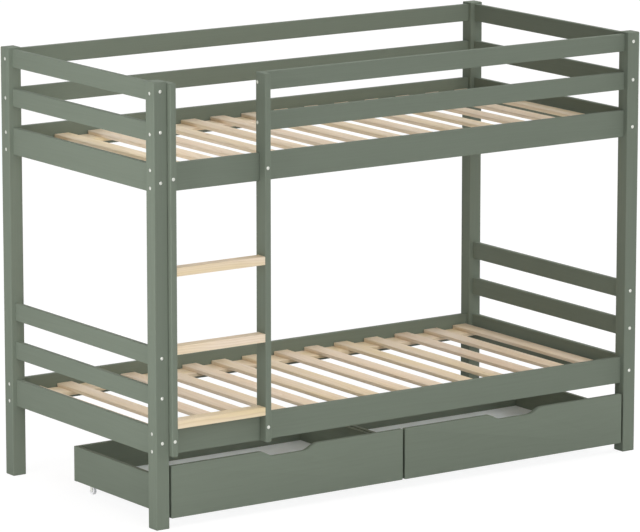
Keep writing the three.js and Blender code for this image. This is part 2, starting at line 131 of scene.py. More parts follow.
def share_property(name, description, default):
    return bpy.props.FloatProperty(
        name=name, description=description, default=default, min=0, max=1, subtype="FACTOR",
    )


def strength_property(name, description, default):
    return bpy.props.FloatProperty(name=name, description=description, default=default, min=0)


def angle_property(name, description, default):
    return bpy.props.FloatProperty(
        name=name, description=description, default=default, subtype="ANGLE", unit="ROTATION",
    )


class BedFinishes(bpy.types.PropertyGroup):
    """Colours and surface values of the bed's wood, metal and plastic"""

    paint: colour_property("Paint", "Sage green paint on the bed and the drawers", linear(120, 129, 116))
    paint_low: colour_property("Paint in grain", "Paint where the grain is deep", linear(110, 118, 105))
    paint_roughness: share_property("Paint roughness", "From glossy to matt", 0.66)
    pine: colour_property("Pine", "Bare pine of the slats and rungs", linear(238, 221, 200))
    pine_rose: colour_property("Rose pine", "Pine where it turns to rose", linear(236, 211, 186))
    pine_straw: colour_property("Straw pine", "Pine where it turns to straw", linear(231, 211, 170))
    pine_ring: colour_property("Pine rings", "The late wood of the growth rings", linear(203, 174, 138))
    knot: colour_property("Knots", "The small knots in the pine", linear(140, 100, 66))
    board: colour_property("Drawer bottom", "Grey coating of the drawer bottoms", linear(240, 248, 252))
    zinc: colour_property("Zinc", "Zinc plate on bolts and castors", linear(222, 223, 216))
    plastic: colour_property("Castor wheels", "Pale plastic of the wheels", linear(250, 250, 252))


class BedFasteners(bpy.types.PropertyGroup):
    """Sizes and places of the frame bolts and the rung screws"""

    head_width: length_property("Bolt head", "Width of a bolt's head", 0.0134)
    head_height: length_property("Bolt head height", "Height of a bolt's head", 0.0028)
    sink_depth: length_property("Bolt sink", "Depth to which a head is let in", 0.003)
    socket_width: length_property("Socket", "Width of the six-sided socket across its flats", 0.004)
    socket_depth: length_property("Socket depth", "Depth of the six-sided socket", 0.0018)
    shank_width: length_property("Bolt shank", "Width of a bolt's shank", 0.006)
    grip: length_property("Grip", "How far a bolt goes into the piece that it holds", 0.014)
    main_spread: length_property("Main rail bolts", "Height between the two bolts of a main rail", 0.0616)
    screw_width: length_property("Screw head", "Width of a rung screw's head", 0.0086)
    screw_depth: length_property("Screw head depth", "Height of a rung screw's head", 0.003)
    screw_spacing: length_property("Screw spacing", "Distance between the two screws of a rung", 0.022)
    screw_length: length_property("Screw length", "Length of a rung screw", 0.048)


class BedSlats(bpy.types.PropertyGroup):
    """Sizes of the slats and side boards of a slatted base"""

    width: length_property("Slat width", "Width of a slat", 0.062)
    thickness: length_property("Slat thickness", "Thickness of a slat", 0.0135)
    board_width: length_property("Board width", "Width of a side board", 0.098)
    board_thickness: length_property("Board thickness", "Thickness of a side board", 0.014)
    rounding: length_property("Rounding", "Rounding of the edges", 0.003)
    seed: bpy.props.IntProperty(
        name="Wood seed", description="Chooses how the wood differs from slat to slat", default=7,
    )


class BedDrawerFronts(bpy.types.PropertyGroup):
    """Sizes of the hand notch and the edges of a drawer front"""

    notch_top: length_property("Notch top", "Width of the hand notch at the top edge", 0.222)
    notch_floor: length_property("Notch floor", "Width of the notch's level floor", 0.142)
    notch_depth: length_property("Notch depth", "Depth of the hand notch", 0.0215)
    notch_curve: length_property("Notch curve", "Reach of the curve at the notch's corners", 0.014)
    corner_curve: length_property("Corner curve", "Reach of the curve at the front's corners", 0.004)
    edge_rounding: length_property("Edge rounding", "Rounding of the front's long edges", 0.002)


class BedCastors(bpy.types.PropertyGroup):
    """Sizes of a castor's bracket and wheel"""

    bore: length_property("Bore", "Width of the bore in a wheel", 0.0048)
    hub_width: length_property("Hub", "Width of a wheel's hub", 0.011)
    rim_inner_width: length_property("Rim", "Width inside the wheel's rim", 0.0215)
    web_recess: length_property("Web recess", "How far the wheel's web lies below its hub", 0.0014)
    plate_thickness: length_property("Plate", "Thickness of the bracket's plate", 0.002)
    plate_corner: length_property("Plate corners", "Rounding of the plate's corners", 0.004)
    cheek_thickness: length_property("Cheeks", "Thickness of the bracket's cheeks", 0.0016)
    cheek_top: length_property("Cheek top", "Length of a cheek where it meets the plate", 0.026)
    cheek_foot: length_property("Cheek foot", "Rounding of a cheek round the axle", 0.005)
    cheek_play: length_property("Cheek play", "From a wheel's side to the cheek", 0.0007)
    axle_width: length_property("Axle", "Width of the axle", 0.004)
    rivet_width: length_property("Rivet head", "Width of the axle's riveted heads", 0.0064)
    rivet_height: length_property("Rivet height", "Height of the axle's riveted heads", 0.0012)


class BedStudio(bpy.types.PropertyGroup):
    """Light, floor and camera"""

    front_low: strength_property("Low front light", "Strength of the sun low in front", 0.98)
    front_high: strength_property("High front light", "Strength of the sun high in front", 0.652)
    right: strength_property("Right light", "Strength of the sun at the right", 2.35)
    back: strength_property("Back light", "Strength of the sun behind the bed", 0.53)
    overhead: strength_property("Top light", "Strength of the sun overhead", 0.77)
    panel: strength_property("Panel", "Power of the light panel beside the left end, in watts", 51.5)
    panel_width: length_property("Panel width", "Width of the square light panel", 2.0, 0.1)
    floor_radius: length_property("Floor radius", "Radius of the round floor", 40.0, 1.0)
    floor_glow: share_property("Floor glow", "How much of the floor's white doesn't take shade", 0.88)
    camera_place: bpy.props.FloatVectorProperty(
        name="Camera place", description="Where the camera stands", default=(-9.1794, -13.2351, 3.9244),
        size=3, subtype="TRANSLATION", unit="LENGTH",
    )
    camera_tilt: angle_property("Camera tilt", "Downward tilt of the view", math.radians(11.2325))
    camera_turn: angle_property("Camera turn", "Turn of the view to the right", math.radians(34.680))
    camera_lens: bpy.props.FloatProperty(
        name="Lens", description="Focal length on a 36 mm wide sensor", default=256.48, unit="CAMERA",
    )


def add_node(tree, kind, inputs=None, **options):
    """Add a node, set its options, and fill in or link its inputs."""
    node = tree.nodes.new(kind)
    for option, value in options.items():
        setattr(node, option, value)
    for socket, value in (inputs or {}).items():
        if isinstance(value, bpy.types.NodeSocket):
            tree.links.new(value, node.inputs[socket])
        else:
            node.inputs[socket].default_value = value
    return node


def mix_colours(tree, share, first, second):
    """Mix two colours, each a socket or a linear colour, and return the result's socket."""
    factor, colour_a, colour_b, result = 0, 6, 7, 2
    node = add_node(tree, "ShaderNodeMix", data_type="RGBA", blend_type="MIX", clamp_factor=True)
    for index, value in ((factor, share), (colour_a, first), (colour_b, second)):
        if isinstance(value, bpy.types.NodeSocket):
            tree.links.new(value, node.inputs[index])
        else:
            node.inputs[index].default_value = value if index == factor else (*value, 1)
    return node.outputs[result]


def spread(tree, value, low, high, to_low=0.0, to_high=1.0):
    """Spread the part of a value from low to high over another range."""
    inputs = {"Value": value, "From Min": low, "From Max": high, "To Min": to_low, "To Max": to_high}
    return add_node(tree, "ShaderNodeMapRange", inputs, clamp=True).outputs["Result"]


def calculate(tree, operation, first, second=0.0):
    return add_node(tree, "ShaderNodeMath", {0: first, 1: second}, operation=operation).outputs["Value"]


def scaled(tree, vector, factors):
    inputs = {0: vector, 1: factors}
    return add_node(tree, "ShaderNodeVectorMath", inputs, operation="MULTIPLY").outputs["Vector"]


def new_group(name, inputs, outputs):
    """Make an empty shader node group with named sockets, and return it with its two ends."""
    group = bpy.data.node_groups.new(name, "ShaderNodeTree")
    for socket, kind, default in inputs:
        made = group.interface.new_socket(name=socket, in_out="INPUT", socket_type=kind)
        if default is not None:
            made.default_value = default
    for socket in outputs:
        group.interface.new_socket(name=socket, in_out="OUTPUT", socket_type="NodeSocketFloat")
    return group, group.nodes.new("NodeGroupInput"), group.nodes.new("NodeGroupOutput")


def wood_grain():
    """The grain of a softwood board, for a vector in metres whose X runs along the grain."""
    if "Wood grain" in bpy.data.node_groups:
        return bpy.data.node_groups["Wood grain"]
    inputs = (
        ("Vector", "NodeSocketVector", None),
        ("Board", "NodeSocketFloat", 0.0),
        ("Rings per Metre", "NodeSocketFloat", 150.0),
    )
    group, ins, outs = new_group("Wood grain", inputs, ("Rings", "Streaks", "Cloud", "Knots", "Height"))
    board = ins.outputs["Board"]
    shift = add_node(group, "ShaderNodeCombineXYZ", {
        axis: calculate(group, "MULTIPLY", board, distance) for axis, distance in BOARD_SHIFT.items()
    })
    placed = add_node(group, "ShaderNodeVectorMath", {
        0: ins.outputs["Vector"],
        1: shift.outputs["Vector"],
    }, operation="ADD").outputs["Vector"]

    wander = add_node(group, "ShaderNodeTexNoise", {
        "Vector": scaled(group, placed, WANDER_SCALE),
        "Scale": 1.0,
        "Detail": 1.5,
    })
    bend = (0.0, 0.06, 0.06)
    bent = add_node(group, "ShaderNodeVectorMath", {
        0: wander.outputs["Color"],
        1: bend,
        2: placed,
    }, operation="MULTIPLY_ADD").outputs["Vector"]
    ring_scale = calculate(group, "MULTIPLY", ins.outputs["Rings per Metre"], ONE_RING_SCALE)
    rings = add_node(group, "ShaderNodeTexWave", {
        "Vector": bent,
        "Scale": ring_scale,
        "Distortion": 1.2,
        "Detail": 1.0,
        "Detail Scale": 0.4,
    }, wave_type="RINGS", rings_direction="X", wave_profile="SAW").outputs["Fac"]

    streaks = add_node(group, "ShaderNodeTexNoise", {
        "Vector": scaled(group, placed, STREAK_SCALE),
        "Scale": 1.0,
        "Detail": 3.0,
        "Roughness": 0.6,
    }).outputs["Fac"]
    cloud = add_node(group, "ShaderNodeTexNoise", {
        "Vector": scaled(group, placed, CLOUD_SCALE),
        "Scale": 1.0,
        "Detail": 2.0,
    }).outputs["Fac"]
    knots = add_node(group, "ShaderNodeTexVoronoi", {
        "Vector": scaled(group, placed, KNOT_SCALE),
        "Scale": 1.0,
        "Randomness": 1.0,
    }, feature="F1").outputs["Distance"]

    late_wood_power, ring_relief = 2.5, 0.45
    knot_heart, knot_edge = 0.045, 0.075
    late_wood = calculate(group, "POWER", rings, late_wood_power)
    relief = calculate(group, "ADD", calculate(group, "MULTIPLY", late_wood, ring_relief), streaks)
    group.links.new(late_wood, outs.inputs["Rings"])
    group.links.new(spread(group, streaks, *NOISE_RANGE), outs.inputs["Streaks"])
    group.links.new(spread(group, cloud, *NOISE_RANGE), outs.inputs["Cloud"])
    group.links.new(spread(group, knots, knot_heart, knot_edge, 1.0, 0.0), outs.inputs["Knots"])
    group.links.new(relief, outs.inputs["Height"])
    return group


def fine_mottle():
    """Small uneven spots, for coatings, plating and plastic."""
    if "Fine mottle" in bpy.data.node_groups:
        return bpy.data.node_groups["Fine mottle"]
    inputs = (("Vector", "NodeSocketVector", None), ("Spots per Metre", "NodeSocketFloat", 200.0))
    group, ins, outs = new_group("Fine mottle", inputs, ("Spots", "Patches", "Height"))
    vector, scale = ins.outputs["Vector"], ins.outputs["Spots per Metre"]
    patches_per_spot = 0.04
    spots = add_node(group, "ShaderNodeTexNoise", {"Vector": vector, "Scale": scale, "Detail": 3.0})
    patches = add_node(group, "ShaderNodeTexNoise", {
        "Vector": vector,
        "Scale": calculate(group, "MULTIPLY", scale, patches_per_spot),
        "Detail": 2.0,
    })
    group.links.new(spread(group, spots.outputs["Fac"], *NOISE_RANGE), outs.inputs["Spots"])
    group.links.new(spread(group, patches.outputs["Fac"], *NOISE_RANGE), outs.inputs["Patches"])
    group.links.new(spots.outputs["Fac"], outs.inputs["Height"])
    return group


def new_material(name):
    """Make an empty material, and return it with its node tree and its surface shader."""
    material = bpy.data.materials.new(name)
    material.use_nodes = True
    tree = material.node_tree
    tree.nodes.clear()
    surface = add_node(tree, "ShaderNodeBsdfPrincipled")
    add_node(tree, "ShaderNodeOutputMaterial", {"Surface": surface.outputs["BSDF"]})
    return material, tree, surface


def add_bump(tree, surface, height, strength, distance):
    """Raise a surface by a height that a group puts out."""
    inputs = {"Strength": strength, "Distance": distance, "Height": height}
    bump = add_node(tree, "ShaderNodeBump", inputs)
    tree.links.new(bump.outputs["Normal"], surface.inputs["Normal"])


def finished(material, colour):
    """Set the plain colour that the material shows in the viewport, and return it."""
    material.diffuse_color = (*colour, 1)
    return material


def grain_vector(tree, axis):
    """The place on the piece in metres, turned so that X runs along the grain."""
    place = add_node(tree, "ShaderNodeTexCoord")
    parts = add_node(tree, "ShaderNodeSeparateXYZ", {"Vector": place.outputs["Object"]})
    along, across, through = GRAIN_AXES[axis]
    turned = {"X": parts.outputs[along], "Y": parts.outputs[across], "Z": parts.outputs[through]}
    return add_node(tree, "ShaderNodeCombineXYZ", turned).outputs["Vector"]


def painted_wood(axis):
    """Matt paint over softwood, with the grain just showing through."""
    name = f"Sage paint, grain along {axis}"
    if name in bpy.data.materials:
        return bpy.data.materials[name]
    look = bpy.context.scene.bed_finishes
    material, tree, surface = new_material(name)
    grain = add_node(tree, "ShaderNodeGroup", node_tree=wood_grain())
    tree.links.new(grain_vector(tree, axis), grain.inputs["Vector"])
    grain.inputs["Rings per Metre"].default_value = 110.0
    streak_depth, other_depth = 0.2, 0.12
    depth = calculate(tree, "MULTIPLY", grain.outputs["Streaks"], streak_depth)
    for mask in ("Rings", "Cloud"):
        deeper = calculate(tree, "MULTIPLY", grain.outputs[mask], other_depth)
        depth = calculate(tree, "ADD", depth, deeper)
    colour = mix_colours(tree, depth, look.paint, look.paint_low)
    tree.links.new(colour, surface.inputs["Base Color"])
    smoothest, roughest = look.paint_roughness - 0.05, look.paint_roughness + 0.08
    rough = spread(tree, grain.outputs["Streaks"], 0.0, 1.0, smoothest, roughest)
    tree.links.new(rough, surface.inputs["Roughness"])
    surface.inputs["Specular IOR Level"].default_value = 0.06
    add_bump(tree, surface, grain.outputs["Height"], strength=0.12, distance=0.0003)
    return finished(material, look.paint)


def bare_pine(axis):
    """Planed pine that differs from board to board, with growth rings and a few small knots."""
    name = f"Pine, grain along {axis}"
    if name in bpy.data.materials:
        return bpy.data.materials[name]
    look = bpy.context.scene.bed_finishes
    material, tree, surface = new_material(name)
    board = add_node(tree, "ShaderNodeAttribute", attribute_name="board").outputs["Fac"]
    grain = add_node(tree, "ShaderNodeGroup", node_tree=wood_grain())
    tree.links.new(grain_vector(tree, axis), grain.inputs["Vector"])
    tree.links.new(board, grain.inputs["Board"])
    grain.inputs["Rings per Metre"].default_value = 130.0
    lean_steps = 7.31
    lean = calculate(tree, "FRACT", calculate(tree, "MULTIPLY", board, lean_steps))
    rose = calculate(tree, "MULTIPLY", lean, grain.outputs["Cloud"])
    straw = calculate(tree, "MULTIPLY", calculate(tree, "SUBTRACT", 1.0, lean), grain.outputs["Cloud"])
    colour = mix_colours(tree, rose, look.pine, look.pine_rose)
    colour = mix_colours(tree, straw, colour, look.pine_straw)
    for mask, from_value, most, tint in (
        ("Rings", 0.1, 0.34, look.pine_ring),
        ("Streaks", 0.55, 0.18, look.pine_ring),
        ("Knots", 0.0, 0.6, look.knot),
    ):
        share = spread(tree, grain.outputs[mask], from_value, 1.0, 0.0, most)
        colour = mix_colours(tree, share, colour, tint)
    tree.links.new(colour, surface.inputs["Base Color"])
    early_rough, late_rough = 0.62, 0.5
    rough = spread(tree, grain.outputs["Rings"], 0.0, 1.0, early_rough, late_rough)
    tree.links.new(rough, surface.inputs["Roughness"])
    surface.inputs["Specular IOR Level"].default_value = 0.2
    add_bump(tree, surface, grain.outputs["Height"], strength=0.35, distance=0.0003)
    return finished(material, look.pine)


def mottled(name, colour, shade, metallic, rough, spots):
    """A coating, plating or plastic with small spots and patches in its colour and shine."""
    if name in bpy.data.materials:
        return bpy.data.materials[name]
    material, tree, surface = new_material(name)
    place = add_node(tree, "ShaderNodeTexCoord")
    mottle = add_node(tree, "ShaderNodeGroup", node_tree=fine_mottle())
    tree.links.new(place.outputs["Object"], mottle.inputs["Vector"])
    mottle.inputs["Spots per Metre"].default_value = spots
    darker = tuple(part * shade for part in colour)
    mixed = mix_colours(tree, mottle.outputs["Patches"], colour, darker)
    tree.links.new(mixed, surface.inputs["Base Color"])
    tree.links.new(spread(tree, mottle.outputs["Spots"], 0.0, 1.0, *rough), surface.inputs["Roughness"])
    surface.inputs["Metallic"].default_value = metallic
    add_bump(tree, surface, mottle.outputs["Height"], strength=0.2, distance=0.0001)
    return finished(material, colour)


def grey_board():
    look = bpy.context.scene.bed_finishes
    return mottled("Grey coated board", look.board, shade=0.93, metallic=0, rough=(0.6, 0.75), spots=350)


def zinc_plate():
    look = bpy.context.scene.bed_finishes
    return mottled("Zinc plate", look.zinc, shade=0.9, metallic=1, rough=(0.25, 0.42), spots=900)


def pale_plastic():
    look = bpy.context.scene.bed_finishes
    return mottled("Pale plastic", look.plastic, shade=0.95, metallic=0, rough=(0.3, 0.42), spots=600)


def dress(node, material):
    """Give a piece of the frame its finish."""
    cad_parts[node].data.materials.clear()
    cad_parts[node].data.materials.append(material)


def middle(node):
    low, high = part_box(node)
    return (low + high) / 2


def skin_loops(mesh, loops, closed=False):
    """Skin a row of loops of points, then cap its two ends, or close the row on itself."""
    rows = [[mesh.verts.new(point) for point in loop] for loop in loops]
    pairs = list(zip(rows, rows[1:]))
    if closed:
        pairs.append((rows[-1], rows[0]))
    for first, second in pairs:
        for index in range(len(first)):
            after = (index + 1) % len(first)
            mesh.faces.new((first[index], first[after], second[after], second[index]))
    if not closed:
        mesh.faces.new(list(reversed(rows[0])))
        mesh.faces.new(rows[-1])


def loop_round(reach_at, height, sides):
    """A loop of points round the Z axis, whose distance from it is a function of the turn."""
    points = []
    for index in range(sides):
        turn = 2 * math.pi * index / sides
        reach = reach_at(turn)
        points.append(Vector((reach * math.cos(turn), reach * math.sin(turn), height)))
    return points


def circle(radius, height, sides):
    return loop_round(lambda turn: radius, height, sides)


def hexagon(flat_width, height, sides):
    """A six-sided loop. Its corners fall on points where the number of points is a multiple of 12."""
    def reach_at(turn):
        lean = (turn + math.pi / 6) % (math.pi / 3) - math.pi / 6
        return flat_width / 2 / math.cos(lean)

    return loop_round(reach_at, height, sides)


def piece_from(mesh, name, materials, body, replaced=()):
    """Turn a finished mesh into a piece of the bed that rides on a body."""
    bmesh.ops.recalc_face_normals(mesh, faces=mesh.faces)
    data = bpy.data.meshes.new(name)
    mesh.to_mesh(data)
    mesh.free()
    data.shade_smooth()
    data.set_sharp_from_angle(angle=SMOOTH_ANGLE)
    for material in materials:
        data.materials.append(material)
    piece = bpy.data.objects.new(name, data)
    bpy.context.scene.collection.objects.link(piece)
    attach(piece, body)
    if replaced:
        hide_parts(*replaced)


def placed_loops(loops, point, direction):
    """Move loops drawn along +Z so that they start at a point and run along a direction."""
    turn = Matrix.Translation(point) @ Vector(direction).to_track_quat("Z", "Y").to_matrix().to_4x4()
    return [[turn @ corner for corner in loop] for loop in loops]


def bolt_loops(passes):
    """A frame bolt with a domed head and a six-sided socket, from the head's face along +Z."""
    size = bpy.context.scene.bed_fasteners
    radius, shank = size.head_width / 2, size.shank_width / 2
    seat_gap, head_bevel = 0.0001, 0.0002
    mouth_bevel, mouth_flare = 0.0002, 0.0006
    point_bevel, point_share = 0.0006, 0.8
    under = size.sink_depth - seat_gap
    top = under - size.head_height
    floor = top + size.socket_depth
    point = passes + size.grip
    dome = ((0.62, 0.0001), (0.82, 0.0004), (0.95, 0.0009), (1.0, 0.0016))
    return [
        hexagon(size.socket_width, floor, FASTENER_SIDES),
        hexagon(size.socket_width, top + mouth_bevel, FASTENER_SIDES),
        hexagon(size.socket_width + mouth_flare, top, FASTENER_SIDES),
        *(circle(radius * share, top + drop, FASTENER_SIDES) for share, drop in dome),
        circle(radius, under - head_bevel, FASTENER_SIDES),
        circle(radius - head_bevel, under, FASTENER_SIDES),
        circle(shank, under, FASTENER_SIDES),
        circle(shank, point - point_bevel, FASTENER_SIDES),
        circle(shank * point_share, point, FASTENER_SIDES),
    ]


def screw_loops():
    """A countersunk screw with a cross socket, drawn from its head along +Z."""
    size = bpy.context.scene.bed_fasteners
    radius, core = size.screw_width / 2, 0.0019
    waist, arm, arm_power = 0.28, 0.36, 0.6
    socket_depth, socket_taper, mouth_depth = 0.0019, 0.4, 0.0002
    face_share, face_depth, rim_depth = 0.9, 0.0001, 0.0003
    point_length, point_share = 0.006, 0.15

    def cross(height, share):
        def reach_at(turn):
            return radius * share * (waist + arm * max(0.0, math.cos(4 * turn)) ** arm_power)

        return loop_round(reach_at, height, FASTENER_SIDES)

    return [
        cross(socket_depth, socket_taper),
        cross(mouth_depth, 1.0),
        circle(radius * face_share, face_depth, FASTENER_SIDES),
        circle(radius, rim_depth, FASTENER_SIDES),
        circle(core, size.screw_depth, FASTENER_SIDES),
        circle(core, size.screw_length - point_length, FASTENER_SIDES),
        circle(core * point_share, size.screw_length, FASTENER_SIDES),
    ]


def post_bolts(face, side):
    """The places, directions and passes of the bolts in one post."""
    size = bpy.context.scene.bed_fasteners
    post = f"{face}_{side}_post"
    low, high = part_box(post)
    inward_x, outer_x = (1, low.x) if side == "left" else (-1, high.x)
    inward_y, outer_y = (1, low.y) if face == "front" else (-1, high.y)
    rail_y = middle(f"upper_{face}_low_guard").y
    bolts = []
    for level, rail_shift, guard_shift in zip(LEVELS, END_RAIL_SHIFTS, END_GUARD_SHIFTS):
        for rail in ("main_rail", *GUARDS):
            shift = guard_shift if rail in GUARDS else rail_shift
            height = middle(f"{level}_{side}_end_{rail}").z + shift
            bolts.append((Vector((middle(post).x, outer_y, height)), (0, inward_y, 0)))
        main = middle(f"{level}_{face}_main_rail").z
        for height in (main - size.main_spread / 2, main + size.main_spread / 2):
            bolts.append((Vector((outer_x, rail_y, height)), (inward_x, 0, 0)))
    for guard in GUARDS:
        height = middle(f"upper_{face}_{guard}").z + LONG_GUARD_SHIFT
        bolts.append((Vector((outer_x, rail_y, height)), (inward_x, 0, 0)))
    passes = high.x - low.x
    return [(place, direction, passes) for place, direction in bolts]


def ladder_bolts():
    """The bolts from the stiles into the front rails."""
    low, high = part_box("ladder_right_stile")
    rail_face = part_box("upper_front_low_guard")[0].y
    rail_y = middle("upper_front_low_guard").y
    bolts = []
    for stile in ("ladder_left_stile", "ladder_right_stile"):
        for level, shift in zip(LEVELS, STILE_SHIFTS):
            height = middle(f"{level}_front_main_rail").z + shift
            place = Vector((middle(stile).x, low.y, height))
            bolts.append((place, (0, 1, 0), rail_face - low.y))
    for guard in GUARDS:
        height = middle(f"upper_front_{guard}").z + LONG_GUARD_SHIFT
        bolts.append((Vector((low.x, rail_y, height)), (1, 0, 0), high.x - low.x))
    return bolts


def box_loops(low, high, rounding, along):
    """A box with rounded edges, as loops that run along one axis."""
    first, second, third = ("XYZ".index(axis) for axis in GRAIN_AXES[along])
    half_across = (high[second] - low[second]) / 2
    half_through = (high[third] - low[third]) / 2
    centre = (low + high) / 2
    least_radius = 0.00005

    def loop(run, inset):
        points = []
        radius = max(rounding - inset, least_radius)
        to_across, to_through = half_across - inset - radius, half_through - inset - radius
        for corner, (side_a, side_b) in enumerate(((1, 1), (-1, 1), (-1, -1), (1, -1))):
            for step in range(BOARD_CORNER_STEPS + 1):
                turn = (corner + step / BOARD_CORNER_STEPS) * math.pi / 2
                point = Vector((0, 0, 0))
                point[first] = run
                point[second] = centre[second] + side_a * to_across + radius * math.cos(turn)
                point[third] = centre[third] + side_b * to_through + radius * math.sin(turn)
                points.append(point)
        return points

    start = [loop(low[first] + rounding * run, rounding * inset) for run, inset in BOARD_ENDS]
    end = [loop(high[first] - rounding * run, rounding * inset) for run, inset in reversed(BOARD_ENDS)]
    return start + end


def add_board(mesh, layer, low, high, rounding, along, board, material_index):
    """Add a rounded board to a base's mesh, marked with the number that its wood depends on."""
    verts_before, faces_before = len(mesh.verts), len(mesh.faces)
    skin_loops(mesh, box_loops(low, high, rounding, along))
    mesh.verts.ensure_lookup_table()
    mesh.faces.ensure_lookup_table()
    for vert in mesh.verts[verts_before:]:
        vert[layer] = board
    for face in mesh.faces[faces_before:]:
        face.material_index = material_index


def slat_middles(node):
    """How far along the bed the middle of each slat lies, read from the slats' upper faces."""
    digits, hair = 5, 1e-5
    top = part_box(node)[1].z
    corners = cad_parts[node].data.vertices
    edges = sorted({round(corner.co.x, digits) for corner in corners if corner.co.z > top - hair})
    if len(edges) % 2:
        raise ValueError(f"{node} has a slat without two edges")
    return [(left + right) / 2 for left, right in zip(edges[::2], edges[1::2])]


def curved_outline(corners):
    """A closed outline through corners, each with the reach of the curve that rounds it off."""
    points = []
    for index, (corner, reach, steps) in enumerate(corners):
        corner = Vector(corner)
        before = Vector(corners[index - 1][0])
        after = Vector(corners[(index + 1) % len(corners)][0])
        start = corner + (before - corner).normalized() * reach
        end = corner + (after - corner).normalized() * reach
        for step in range(steps + 1):
            share = step / steps
            points.append(start.lerp(corner, share).lerp(corner.lerp(end, share), share))
    return points


def inset_outline(points, inset):
    """Move each point of an outline inwards. The outline runs anticlockwise."""
    least_stretch = 0.5
    moved = []
    for index, point in enumerate(points):
        before, after = points[index - 1], points[(index + 1) % len(points)]
        back, ahead = (point - before).normalized(), (after - point).normalized()
        normal = Vector((-(back.y + ahead.y), back.x + ahead.x)).normalized()
        stretch = max(least_stretch, normal.dot(Vector((-ahead.y, ahead.x))))
        moved.append(point + normal * inset / stretch)
    return moved


def rounded_slab(points, low, high, rounding, place):
    """Loops of a slab with rounded edges, whose outline and depth are placed by a function."""
    quarter = [math.radians(angle) for angle in (0, 30, 60, 90)]

    def loop(turn, depth):
        inset = rounding * (1 - math.sin(turn))
        return [place(point, depth) for point in inset_outline(points, inset)]

    start = [loop(turn, low + rounding * (1 - math.cos(turn))) for turn in quarter]
    end = [loop(turn, high - rounding * (1 - math.cos(turn))) for turn in reversed(quarter)]
    return start + end


class PaintFrame(bpy.types.Operator):
    """Paint the posts, rails, guard rails and ladder stiles, each with the grain along its length"""

    bl_idname = "bunk_bed.paint_frame"
    bl_label = "Paint Frame"

    def execute(self, context):
        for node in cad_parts:
            if node.endswith(("_post", "_stile")):
                dress(node, painted_wood("Z"))
            elif "_end_" in node:
                dress(node, painted_wood("Y"))
            elif node.endswith(("_main_rail", "_guard")):
                dress(node, painted_wood("X"))
        return {"FINISHED"}


class FinishRungs(bpy.types.Operator):
    """Leave the ladder's rungs in bare pine"""

    bl_idname = "bunk_bed.finish_rungs"
    bl_label = "Finish Rungs"

    def execute(self, context):
        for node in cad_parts:
            if node.startswith("ladder_rung_"):
                dress(node, bare_pine("X"))
        return {"FINISHED"}


class MakeSlattedBases(bpy.types.Operator):
    """Lay the slats of both beds on their side boards, each slat from its own piece of pine"""

    bl_idname = "bunk_bed.make_slatted_bases"
    bl_label = "Make Slatted Bases"

    def execute(self, context):
        size = context.scene.bed_slats
        woods = (bare_pine("Y"), bare_pine("X"))
        slat_wood, board_wood = range(len(woods))
        for number, level in enumerate(LEVELS):
            node = f"{level}_slatted_base"
            low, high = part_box(node)
            wood = random.Random(size.seed + number)
            mesh = bmesh.new()
            layer = mesh.verts.layers.float.new("board")
            board_top = low.z + size.board_thickness
            for edge in (low.y, high.y - size.board_width):
                corner = Vector((low.x, edge, low.z))
                opposite = Vector((high.x, edge + size.board_width, board_top))
                add_board(mesh, layer, corner, opposite, size.rounding, "X", wood.uniform(0, 1), board_wood)
            for across in slat_middles(node):
                corner = Vector((across - size.width / 2, low.y, high.z - size.thickness))
                opposite = Vector((across + size.width / 2, high.y, high.z))
                add_board(mesh, layer, corner, opposite, size.rounding, "Y", wood.uniform(0, 1), slat_wood)
            piece_from(mesh, f"{level}_slats", woods, "frame", (node,))
        return {"FINISHED"}


class MakeFrameBolts(bpy.types.Operator):
    """Put a socket-head bolt in each bolt hole of the posts and the ladder"""

    bl_idname = "bunk_bed.make_frame_bolts"
    bl_label = "Make Frame Bolts"

    def execute(self, context):
        groups = {}
        for face in FACES:
            for side in SIDES:
                groups[f"{face}_{side}_post_bolts"] = post_bolts(face, side)
        groups["ladder_bolts"] = ladder_bolts()
        for name, bolts in groups.items():
            mesh = bmesh.new()
            for place, direction, passes in bolts:
                skin_loops(mesh, placed_loops(bolt_loops(passes), place, direction))
            piece_from(mesh, name, (zinc_plate(),), "frame")
        return {"FINISHED"}


class MakeRungScrews(bpy.types.Operator):
    """Put two countersunk screws, painted over with the stiles, in each end of each rung"""

    bl_idname = "bunk_bed.make_rung_screws"
    bl_label = "Make Rung Screws"

    def execute(self, context):
        size = context.scene.bed_fasteners
        left_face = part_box("ladder_left_stile")[0].x
        right_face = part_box("ladder_right_stile")[1].x
        mesh = bmesh.new()
        for node in sorted(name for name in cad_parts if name.startswith("ladder_rung_")):
            centre = middle(node)
            for shift in (-size.screw_spacing / 2, size.screw_spacing / 2):
                for face, direction in ((left_face, (1, 0, 0)), (right_face, (-1, 0, 0))):
                    place = Vector((face, centre.y + shift, centre.z))
                    skin_loops(mesh, placed_loops(screw_loops(), place, direction))
        piece_from(mesh, "rung_screws", (painted_wood("Z"),), "frame")
        return {"FINISHED"}


